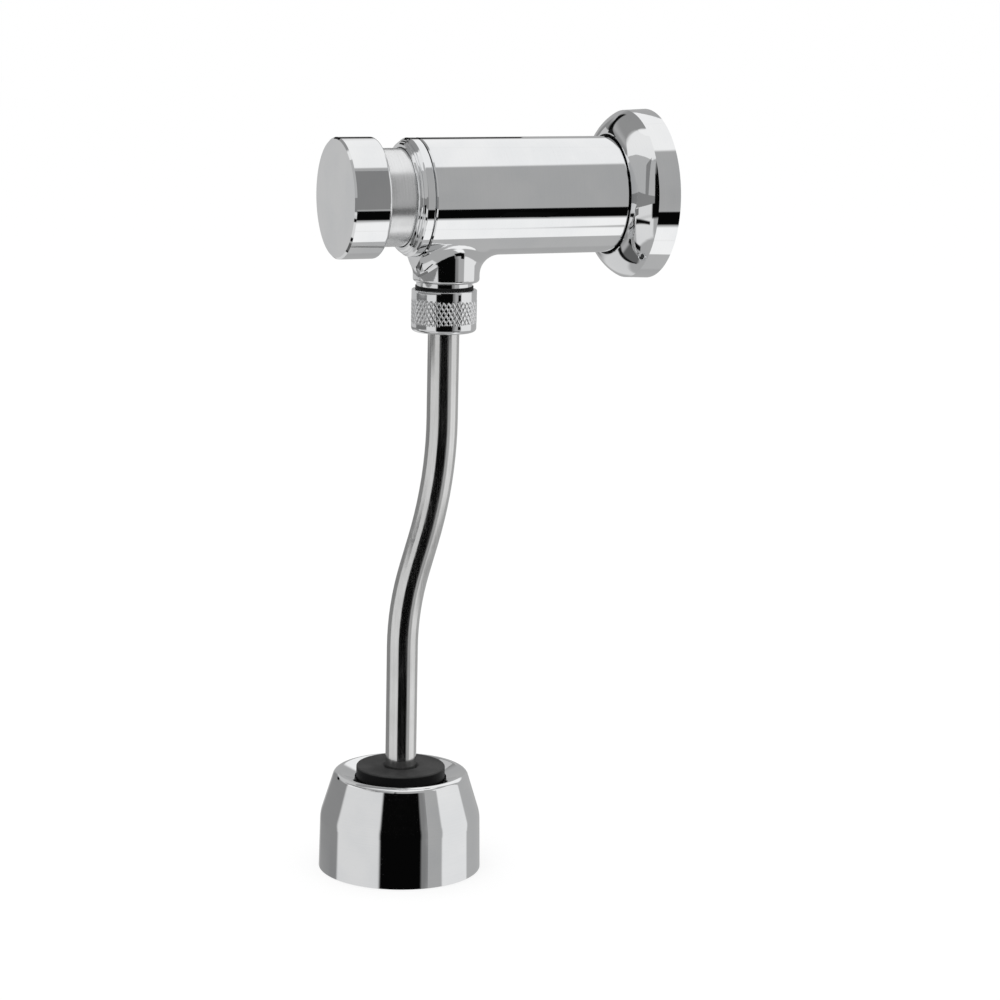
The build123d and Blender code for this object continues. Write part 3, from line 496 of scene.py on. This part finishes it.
def surfaceMaterial(name, look):
    # Place on the piece feeds every pattern. "turned" marks follow the distance from the axis and the
    # place along it, "drawn" marks run along the tube, "moulded" has only a fine even grain.
    material, tree, output = emptyMaterial(name)
    surface = addNode(tree, "BsdfPrincipled")
    tree.links.new(surface.outputs["BSDF"], output.inputs["Surface"])
    place = addNode(tree, "TexCoord").outputs["Object"]
    place = vector2(tree, "SUBTRACT", place, look.get("centre", (0, 0, 0)))
    if look["grain"] == "turned":
        axis = look["axis"]
        across = (1 - axis[0], 1 - axis[1], 1 - axis[2])
        radial = vector2(tree, "LENGTH", vector2(tree, "MULTIPLY", place, across), None, "Value")
        along = vector2(tree, "DOT_PRODUCT", place, axis, "Value")
        join = addNode(tree, "CombineXYZ")
        tree.links.new(radial, join.inputs[0])
        tree.links.new(along, join.inputs[1])
        grainPlace = join.outputs[0]
    elif look["grain"] == "drawn":
        grainPlace = vector2(tree, "MULTIPLY", place, look["grainStretch"])
    else:
        grainPlace = place
    marks = noise(tree, grainPlace, look["grainScale"], detail=4.0, roughness=0.6)
    patches = noise(tree, place, look["patchScale"], detail=3.0, roughness=0.5)
    peel = noise(tree, place, look["peelScale"], detail=1.5, roughness=0.4)
    # thin wandering lines where a stretched noise passes its middle value
    stretched = vector2(tree, "MULTIPLY", place, look["lineStretch"])
    wander = noise(tree, stretched, look["lineScale"], detail=2.0, roughness=0.5, distortion=0.6)
    fromMiddle = math2(tree, "ABSOLUTE", math2(tree, "SUBTRACT", wander, 0.5))
    lines = spread(tree, fromMiddle, 0.0, look["lineWidth"], 1.0, 0.0)
    lines = math2(tree, "MULTIPLY", lines, spread(tree, patches, *look["linePatches"], 0.0, 1.0))
    mix = addNode(tree, "Mix", data_type="RGBA")
    feed(tree, mix.inputs["Factor"], spread(tree, patches, *look["tintPatches"], 0.0, 1.0))
    mix.inputs["A"].default_value = (*look["colour"], 1)
    mix.inputs["B"].default_value = (*look["tint"], 1)
    darken = addNode(tree, "Mix", data_type="RGBA", blend_type="MULTIPLY")
    feed(tree, darken.inputs["Factor"],
         spread(tree, marks, *look["toneMarks"], look["grainTone"], 0.0, smooth=False))
    tree.links.new(mix.outputs["Result"], darken.inputs["A"])
    darken.inputs["B"].default_value = (*[look["grainShade"] * c for c in look["colour"]], 1)
    colour = darken.outputs["Result"]
    if "paintedTopLight" in look:
        # painted light: the top face, above a height, is painted lighter for the light that falls on it from
        # above, and this thins out in patches
        low, high, tone, thin = look["paintedTopLight"]
        split = addNode(tree, "SeparateXYZ")
        tree.links.new(place, split.inputs[0])
        paintedTopLightMix = addNode(tree, "Mix", data_type="RGBA")
        onTop = spread(tree, split.outputs["Z"], low, high, 0.0, 1.0)
        thinned = spread(tree, patches, *look["roughPatches"], 1.0, thin)
        feed(tree, paintedTopLightMix.inputs["Factor"], math2(tree, "MULTIPLY", onTop, thinned))
        tree.links.new(colour, paintedTopLightMix.inputs["A"])
        paintedTopLightMix.inputs["B"].default_value = (tone, tone, tone, 1)
        colour = paintedTopLightMix.outputs["Result"]
    tree.links.new(colour, surface.inputs["Base Color"])
    surface.inputs["Metallic"].default_value = look["metallic"]
    rough = spread(tree, patches, *look["roughPatches"], *look["roughness"])
    rough = math2(tree, "ADD", rough, math2(tree, "MULTIPLY", lines, look["lineRoughness"]))
    rough = math2(tree, "ADD", rough,
                  spread(tree, marks, *look["roughPatches"], 0.0, look["grainRoughness"]))
    tree.links.new(rough, surface.inputs["Roughness"])
    for key, value in look.get("sockets", {}).items():
        surface.inputs[key].default_value = value
    # heights in metres: slow waviness of the polish, then the tool marks, then the fine lines
    height = math2(tree, "MULTIPLY", peel, look["peelDepth"])
    height = math2(tree, "ADD", height, math2(tree, "MULTIPLY", marks, look["grainDepth"]))
    height = math2(tree, "SUBTRACT", height, math2(tree, "MULTIPLY", lines, look["lineDepth"]))
    bump = addNode(tree, "Bump")
    bump.inputs["Strength"].default_value = 1.0
    bump.inputs["Distance"].default_value = 1.0
    tree.links.new(height, bump.inputs["Height"])
    tree.links.new(bump.outputs["Normal"], surface.inputs["Normal"])
    return material


alongY, alongZ = (0.0, 1.0, 0.0), (0.0, 0.0, 1.0)
chromeLook = {
    "grain": "turned", "axis": alongY, "metallic": 1.0,
    "colour": (0.86, 0.865, 0.87), "tint": (0.82, 0.83, 0.84),
    "roughness": (0.02, 0.04), "patchScale": 55.0, "peelScale": 160.0, "peelDepth": 3.0e-6,
    "grainScale": 2600.0, "grainDepth": 1.5e-7, "grainTone": 0.04, "grainRoughness": 0.008,
    "lineScale": 38.0, "lineRoughness": 0.05, "lineDepth": 1.0e-6, "lineWidth": 0.004,
    "lineStretch": (1.0, 0.3, 1.6),
    "grainShade": 0.35,          # the darkest mark, as a share of the colour
    # from and to which noise the tint comes in, the rougher patches, the lines, and the dark of the marks
    "tintPatches": (0.35, 0.68), "roughPatches": (0.3, 0.7), "linePatches": (0.5, 0.62),
    "toneMarks": (0.3, 0.75),
}
brassLook = {
    **chromeLook, "colour": (0.79, 0.6, 0.31), "tint": (0.6, 0.41, 0.19), "roughness": (0.22, 0.36),
    "patchScale": 140.0, "grainScale": 1700.0, "grainDepth": 2.5e-6, "grainTone": 0.45,
    "grainRoughness": 0.12,
}
mouldedLook = {**chromeLook, "grain": "moulded", "metallic": 0.0, "peelDepth": 8.0e-6}
rubberLook = {
    **mouldedLook, "grainScale": 2600.0, "grainDepth": 5.0e-6, "grainTone": 0.5, "lineRoughness": -0.12,
}
plasticLook = {
    **mouldedLook, "peelScale": 300.0, "grainScale": 1800.0, "grainDepth": 3.0e-6, "grainRoughness": 0.1,
}
finishes = {
    "chromeTurned": {**chromeLook},
    "chromeBell": {**chromeLook, "axis": alongZ, "centre": footPlace},
    "chromeNut": {**chromeLook, "axis": alongZ, "centre": outletPlace, "roughness": (0.04, 0.07),
                  "peelScale": 420.0, "peelDepth": 5.0e-6},
    "chromeSatin": {**chromeLook, "tint": (0.8, 0.805, 0.81), "metallic": 0.9, "roughness": (0.2, 0.24),
                    "grainScale": 1500.0, "grainDepth": 3.0e-7, "grainTone": 0.16, "grainRoughness": 0.04},
    "steelTube": {**chromeLook, "grain": "drawn", "colour": (0.83, 0.83, 0.825), "tint": (0.77, 0.77, 0.765),
                  "roughness": (0.07, 0.12), "grainScale": 1400.0, "grainStretch": (1.0, 1.0, 0.018),
                  "grainDepth": 9.0e-7, "grainTone": 0.25, "grainRoughness": 0.1,
                  "lineStretch": (1.0, 1.0, 0.05), "lineScale": 220.0},
    "steelWire": {**chromeLook, "grain": "moulded", "colour": (0.62, 0.61, 0.6), "tint": (0.5, 0.49, 0.48),
                  "roughness": (0.16, 0.3), "grainScale": 900.0, "grainDepth": 2.0e-6, "grainTone": 0.35,
                  "grainRoughness": 0.1},
    "brassTurned": {**brassLook},
    "brassOutlet": {**brassLook, "axis": alongZ, "centre": outletPlace},
    "blackRubber": {**rubberLook, "colour": (0.005, 0.005, 0.0055), "tint": (0.011, 0.011, 0.0115),
                    "roughness": (0.36, 0.48), "patchScale": 90.0, "peelScale": 500.0,
                    "grainRoughness": 0.12, "sockets": {"Specular IOR Level": 0.15}},
    "grommetRubber": {**rubberLook, "colour": (0.003, 0.003, 0.0032), "tint": (0.006, 0.006, 0.0062),
                      "roughness": (0.42, 0.55), "patchScale": 60.0, "peelScale": 400.0,
                      "grainRoughness": 0.1, "sockets": {"Specular IOR Level": 0.12},
                      # painted light on the top face: the heights where it starts and is full, its tone, its
                      # share where it is thinnest
                      "paintedTopLight": (-0.2346, -0.2340, 0.042, 0.6)},
    "whitePlastic": {**plasticLook, "colour": (0.78, 0.76, 0.7), "tint": (0.68, 0.65, 0.56),
                     "roughness": (0.34, 0.5), "patchScale": 70.0, "grainTone": 0.12},
    "greyPlastic": {**plasticLook, "colour": (0.085, 0.088, 0.095), "tint": (0.13, 0.134, 0.142),
                    "roughness": (0.32, 0.48), "patchScale": 80.0, "grainTone": 0.25},
}
wearers = {
    "chromeTurned": ["valve_body", "push_button", "wall_flange"],
    "chromeBell": ["bell_cover"],
    "chromeSatin": ["button_skirt"],
    "steelTube": ["flush_tube"],
    "steelWire": ["return_spring", "inlet_filter", "metering_screw", "stem_lock_nut", "slip_ring"],
    "brassTurned": ["cartridge_cap", "button_stem"],
    "brassOutlet": ["tube_collar"],
    "blackRubber": ["inlet_gasket", "cap_o_ring", "stem_o_ring", "housing_o_ring", "main_seal", "cup_seal",
                    "flange_ring", "neck_ring", "outlet_washer"],
    "grommetRubber": ["bell_grommet"],
    "whitePlastic": ["cartridge_housing", "flow_limiter", "timer_piston"],
    "greyPlastic": ["timer_cylinder", "seal_carrier"],
}
materials = {name: surfaceMaterial(name, look) for name, look in finishes.items()}
for name, wearing in wearers.items():
    for node in wearing:
        nodes[node].data.materials.clear()
        nodes[node].data.materials.append(materials[name])
for piece, name in ((nutPiece, "chromeNut"), (neckPiece, "brassOutlet"), (nipplePiece, "brassTurned"),
                    (collarPiece, "chromeTurned"), (sleevePiece, "blackRubber"),
                    (springPiece, "steelWire")):
    piece.data.materials.append(materials[name])
print("materials made,", len(materials))


# The studio: metal shows a room of white, grey and black screens, which go by direction alone

room = {
    "turn": 22.47,       # brings the camera's side to azimuth 0
    "mirror": 0.86,      # how much of the light the chrome gives back
    "base": 0.64,
    "light": 1.0,        # what the room gives to matt surfaces
    # name, azimuth and elevation of the middle, half width, half height, soft edge, slant, tone as shown
    "screens": [
        ("ceiling", 0, 78.5, 181, 21.5, 2, 0, 0.93),
        ("backLight", 160, 42, 30, 17, 3, 0, 0.93),
        ("rightLight", 90, 12, 25, 31, 2, 0, 0.88),
        ("rightFar", 140, 0, 25, 22, 3, 0, 0.66),
        ("leftGrey", -128, -3, 30, 23, 3, 0, 0.52),
        ("leftLight", -62.5, 2, 35.5, 23, 3, 0, 0.83),
        ("leftWedge", -64, 50, 46, 20, 1.5, 21.8, 0.90),
        ("leftHigh", -141, 58, 37, 31, 5, 0, 0.55),
        ("leftArc", -143, 22, 17, 4, 1.5, -36, 0.03),
        ("lowWedge", -48, -36, 27, 14, 3, 0, 0.84),
        ("lowLine", -53, -25.5, 22, 2.3, 1, -13, 0.03),
        ("lowFar", -141, -36, 24, 16, 4, 0, 0.80),
        ("lowGrey", -101, -50, 14, 16, 3, 0, 0.36),
        ("lowDark", -82, -42, 18, 4, 1.5, -48, 0.04),
        ("lowEdge", -116, -44, 3, 20, 1.5, 0, 0.06),
        ("floorWhite", 56, -46.5, 8.5, 9, 2, 0, 0.94),
        ("floorWhiteFar", 80, -63, 23, 8.5, 2, 0, 0.94),
        ("floorGrey", 140, -66, 36, 14, 3, 0, 0.68),
        ("rightGrey", 49, 18, 15, 38, 2, 0, 0.64),
        ("rightShade", 34, 0, 6.5, 26, 4, 0, 0.48),
        ("blackFront", 3.5, 1, 29.5, 26, 2, 0, 0.02),
        ("blackEdge", -12, 30, 6, 14, 3, 0, 0.02),
        ("blackLow", 49, -26.7, 13, 8.3, 1, 0, 0.02),
    ],
}


def lightFor(tone):
    # The light that chrome has to meet to show this tone; the numbers are those of a display's curve
    return ((tone + 0.055) / 1.055) ** 2.4 / room["mirror"]


def makeRoom(s):
    world = bpy.data.worlds.new("room")
    bpy.context.scene.world = world
    world.use_nodes = True
    tree = world.node_tree
    tree.nodes.clear()
    output = addNode(tree, "OutputWorld")
    direction = addNode(tree, "TexCoord").outputs["Generated"]
    turned = addNode(tree, "VectorRotate", rotation_type="Z_AXIS")
    tree.links.new(direction, turned.inputs["Vector"])
    turned.inputs["Angle"].default_value = math.radians(s["turn"])
    split = addNode(tree, "SeparateXYZ")
    tree.links.new(turned.outputs[0], split.inputs[0])
    azimuth = math2(tree, "DEGREES", math2(tree, "ARCTAN2", split.outputs["Y"], split.outputs["X"]))
    elevation = math2(tree, "DEGREES", math2(tree, "ARCSINE", split.outputs["Z"]))

    level = lightFor(s["base"])
    for name, middle, height, halfWidth, halfHeight, edge, slant, tone in s["screens"]:
        wrap = addNode(tree, "Math", operation="WRAP")
        feed(tree, wrap.inputs[0], math2(tree, "SUBTRACT", azimuth, middle))
        wrap.inputs[1].default_value, wrap.inputs[2].default_value = 180.0, -180.0
        sideways, upwards = wrap.outputs[0], math2(tree, "SUBTRACT", elevation, height)
        if slant:
            # the screen's own axes, turned by the slant
            c, d = math.cos(math.radians(slant)), math.sin(math.radians(slant))
            across = math2(tree, "ADD", math2(tree, "MULTIPLY", sideways, c),
                           math2(tree, "MULTIPLY", upwards, d))
            upwards = math2(tree, "SUBTRACT", math2(tree, "MULTIPLY", upwards, c),
                            math2(tree, "MULTIPLY", sideways, d))
            sideways = across
        sideways, upwards = math2(tree, "ABSOLUTE", sideways), math2(tree, "ABSOLUTE", upwards)
        inside = math2(tree, "MULTIPLY",
                       spread(tree, sideways, halfWidth - edge, halfWidth + edge, 1, 0),
                       spread(tree, upwards, halfHeight - edge, halfHeight + edge, 1, 0))
        mix = addNode(tree, "Mix", data_type="FLOAT")
        feed(tree, mix.inputs["Factor"], inside)
        feed(tree, mix.inputs["A"], level)
        mix.inputs["B"].default_value = lightFor(tone)
        level = mix.outputs["Result"]
    rays = addNode(tree, "LightPath").outputs
    roomLight, plain, backdrop = (addNode(tree, "Background") for i in range(3))
    tree.links.new(level, roomLight.inputs["Strength"])
    plain.inputs["Strength"].default_value = s["light"]
    for light in (roomLight, plain, backdrop):
        light.inputs["Color"].default_value = (1, 1, 1, 1)
    seen = addNode(tree, "MixShader")
    feed(tree, seen.inputs[0], math2(tree, "ADD", rays["Is Glossy Ray"], rays["Is Transmission Ray"]))
    tree.links.new(plain.outputs[0], seen.inputs[1])
    tree.links.new(roomLight.outputs[0], seen.inputs[2])
    behind = addNode(tree, "MixShader")
    tree.links.new(rays["Is Camera Ray"], behind.inputs[0])
    tree.links.new(seen.outputs[0], behind.inputs[1])
    tree.links.new(backdrop.outputs[0], behind.inputs[2])
    tree.links.new(behind.outputs[0], output.inputs["Surface"])


makeRoom(room)

floor = {
    "height": -0.2767, "half": 6.0, "colour": (1.0, 1.0, 1.0),
    "glow": 0.72,        # this much of its white stays in any shadow
}


def makeFloor(s):
    mesh = bpy.data.meshes.new("floor")
    h = s["half"]
    corners = [(x, y, s["height"]) for x, y in ((-h, -h), (h, -h), (h, h), (-h, h))]
    mesh.from_pydata(corners, [], [(0, 1, 2, 3)])
    plane = addObject("floor", mesh)
    material, tree, output = emptyMaterial("paleFloor")
    matt, glow = addNode(tree, "BsdfDiffuse"), addNode(tree, "Emission")
    mix = addNode(tree, "MixShader")
    matt.inputs["Color"].default_value = (*s["colour"], 1)
    glow.inputs["Color"].default_value = (1, 1, 1, 1)
    glow.inputs["Strength"].default_value = 1.0
    rays = addNode(tree, "LightPath").outputs
    bounced = math2(tree, "ADD", rays["Is Glossy Ray"], rays["Is Transmission Ray"])
    seen = math2(tree, "ADD", rays["Is Camera Ray"], bounced)
    feed(tree, mix.inputs[0], math2(tree, "MULTIPLY", seen, s["glow"]))
    tree.links.new(matt.outputs[0], mix.inputs[1])
    tree.links.new(glow.outputs[0], mix.inputs[2])
    tree.links.new(mix.outputs[0], output.inputs["Surface"])
    mesh.materials.append(material)
    plane.visible_glossy = False    # metal shows the room by direction, also below the horizon


makeFloor(floor)

# Cards near the valve, seen only in its metal: the tone of each as shown, then its corners
cards = {
    "nutCard": (0.44, (-0.2, -0.3, -0.1), (0.03, -0.34, -0.1), (0.03, -0.34, -0.067), (-0.2, -0.3, -0.067)),
    "lineCard": (0.04, (0.1158, -0.0273, -0.0725), (0.1034, -0.0079, -0.0725), (0.1034, -0.0079, -0.0505),
                 (0.1158, -0.0273, -0.0505)),
    "flangeCard": (0.5, (-0.19, -0.35, -0.066), (0.41, -0.35, -0.066), (0.41, -0.35, 0.01),
                   (-0.19, -0.35, 0.01)),
    "flangeCardTop": (0.68, (-0.19, -0.35, 0.01), (0.41, -0.35, 0.01), (0.41, -0.35, 0.48),
                      (-0.19, -0.35, 0.12)),
    "flangeTopCard": (0.64, (-0.06, 0.008, 0.03), (-0.06, 0.07, 0.03), (-0.06, 0.15, 0.14),
                      (-0.06, 0.056, 0.14)),
    "bodyTopCard": (0.12, (-0.046, -0.14, 0.032), (-0.046, -0.035, 0.032), (-0.046, -0.035, 0.044),
                    (-0.046, -0.14, 0.044)),
    "faceCard": (0.73, (-0.38, -0.07, -0.1), (-0.2, -0.38, -0.1), (-0.2, -0.38, 0.12), (-0.38, -0.07, 0.12)),
    "buttonCard": (0.5, (0.078, -0.14, -0.0185), (0.078, -0.099, -0.0185), (0.078, -0.078, 0.1),
                   (0.078, -0.14, 0.1)),
}


def makeCard(name, tone, *corners):
    mesh = bpy.data.meshes.new(name)
    mesh.from_pydata(corners, [], [(0, 1, 2, 3)])
    card = addObject(name, mesh)
    material, tree, output = emptyMaterial(name)
    glow = addNode(tree, "Emission")
    glow.inputs["Strength"].default_value = lightFor(tone)
    tree.links.new(glow.outputs[0], output.inputs["Surface"])
    mesh.materials.append(material)
    card.visible_camera = False
    card.visible_diffuse = False
    card.visible_shadow = False


for name, card in cards.items():
    makeCard(name, *card)
print("room, floor and", len(cards), "cards made")

softBox = {"place": (0.5, -0.6, 1.1), "size": 0.9, "power": 4.0, "aim": (0.0, -0.07, -0.12)}


def makeLamp(s):
    light = bpy.data.lights.new("softBox", "AREA")
    light.shape, light.size, light.energy = "SQUARE", s["size"], s["power"]
    lamp = addObject("softBox", light)
    lamp.location = s["place"]
    # it looks along its own -Z: tipped about X, then turned about Z, towards the aim
    toAim = np.array(s["aim"]) - np.array(s["place"])
    tip = math.acos(-toAim[2] / np.linalg.norm(toAim))
    lamp.rotation_euler = (tip, 0, math.atan2(-toAim[0], toAim[1]))
    lamp.visible_glossy = False


makeLamp(softBox)

# The camera as it was fitted to the photograph's outlines
camera = {
    "place": (1.08539, -0.51031, 0.10462), "turn": (78.945, -1.171, 67.755),
    "lens": 104.94, "sensor": 36.0, "near": 0.01, "far": 50,
}


def makeCamera(s):
    lens = bpy.data.cameras.new("camera")
    lens.lens, lens.sensor_width = s["lens"], s["sensor"]
    lens.clip_start, lens.clip_end = s["near"], s["far"]
    view = addObject("camera", lens)
    view.location = s["place"]
    view.rotation_euler = [math.radians(angle) for angle in s["turn"]]
    bpy.context.scene.camera = view


makeCamera(camera)
bpy.context.scene.view_settings.view_transform = "Standard"
print("studio made")
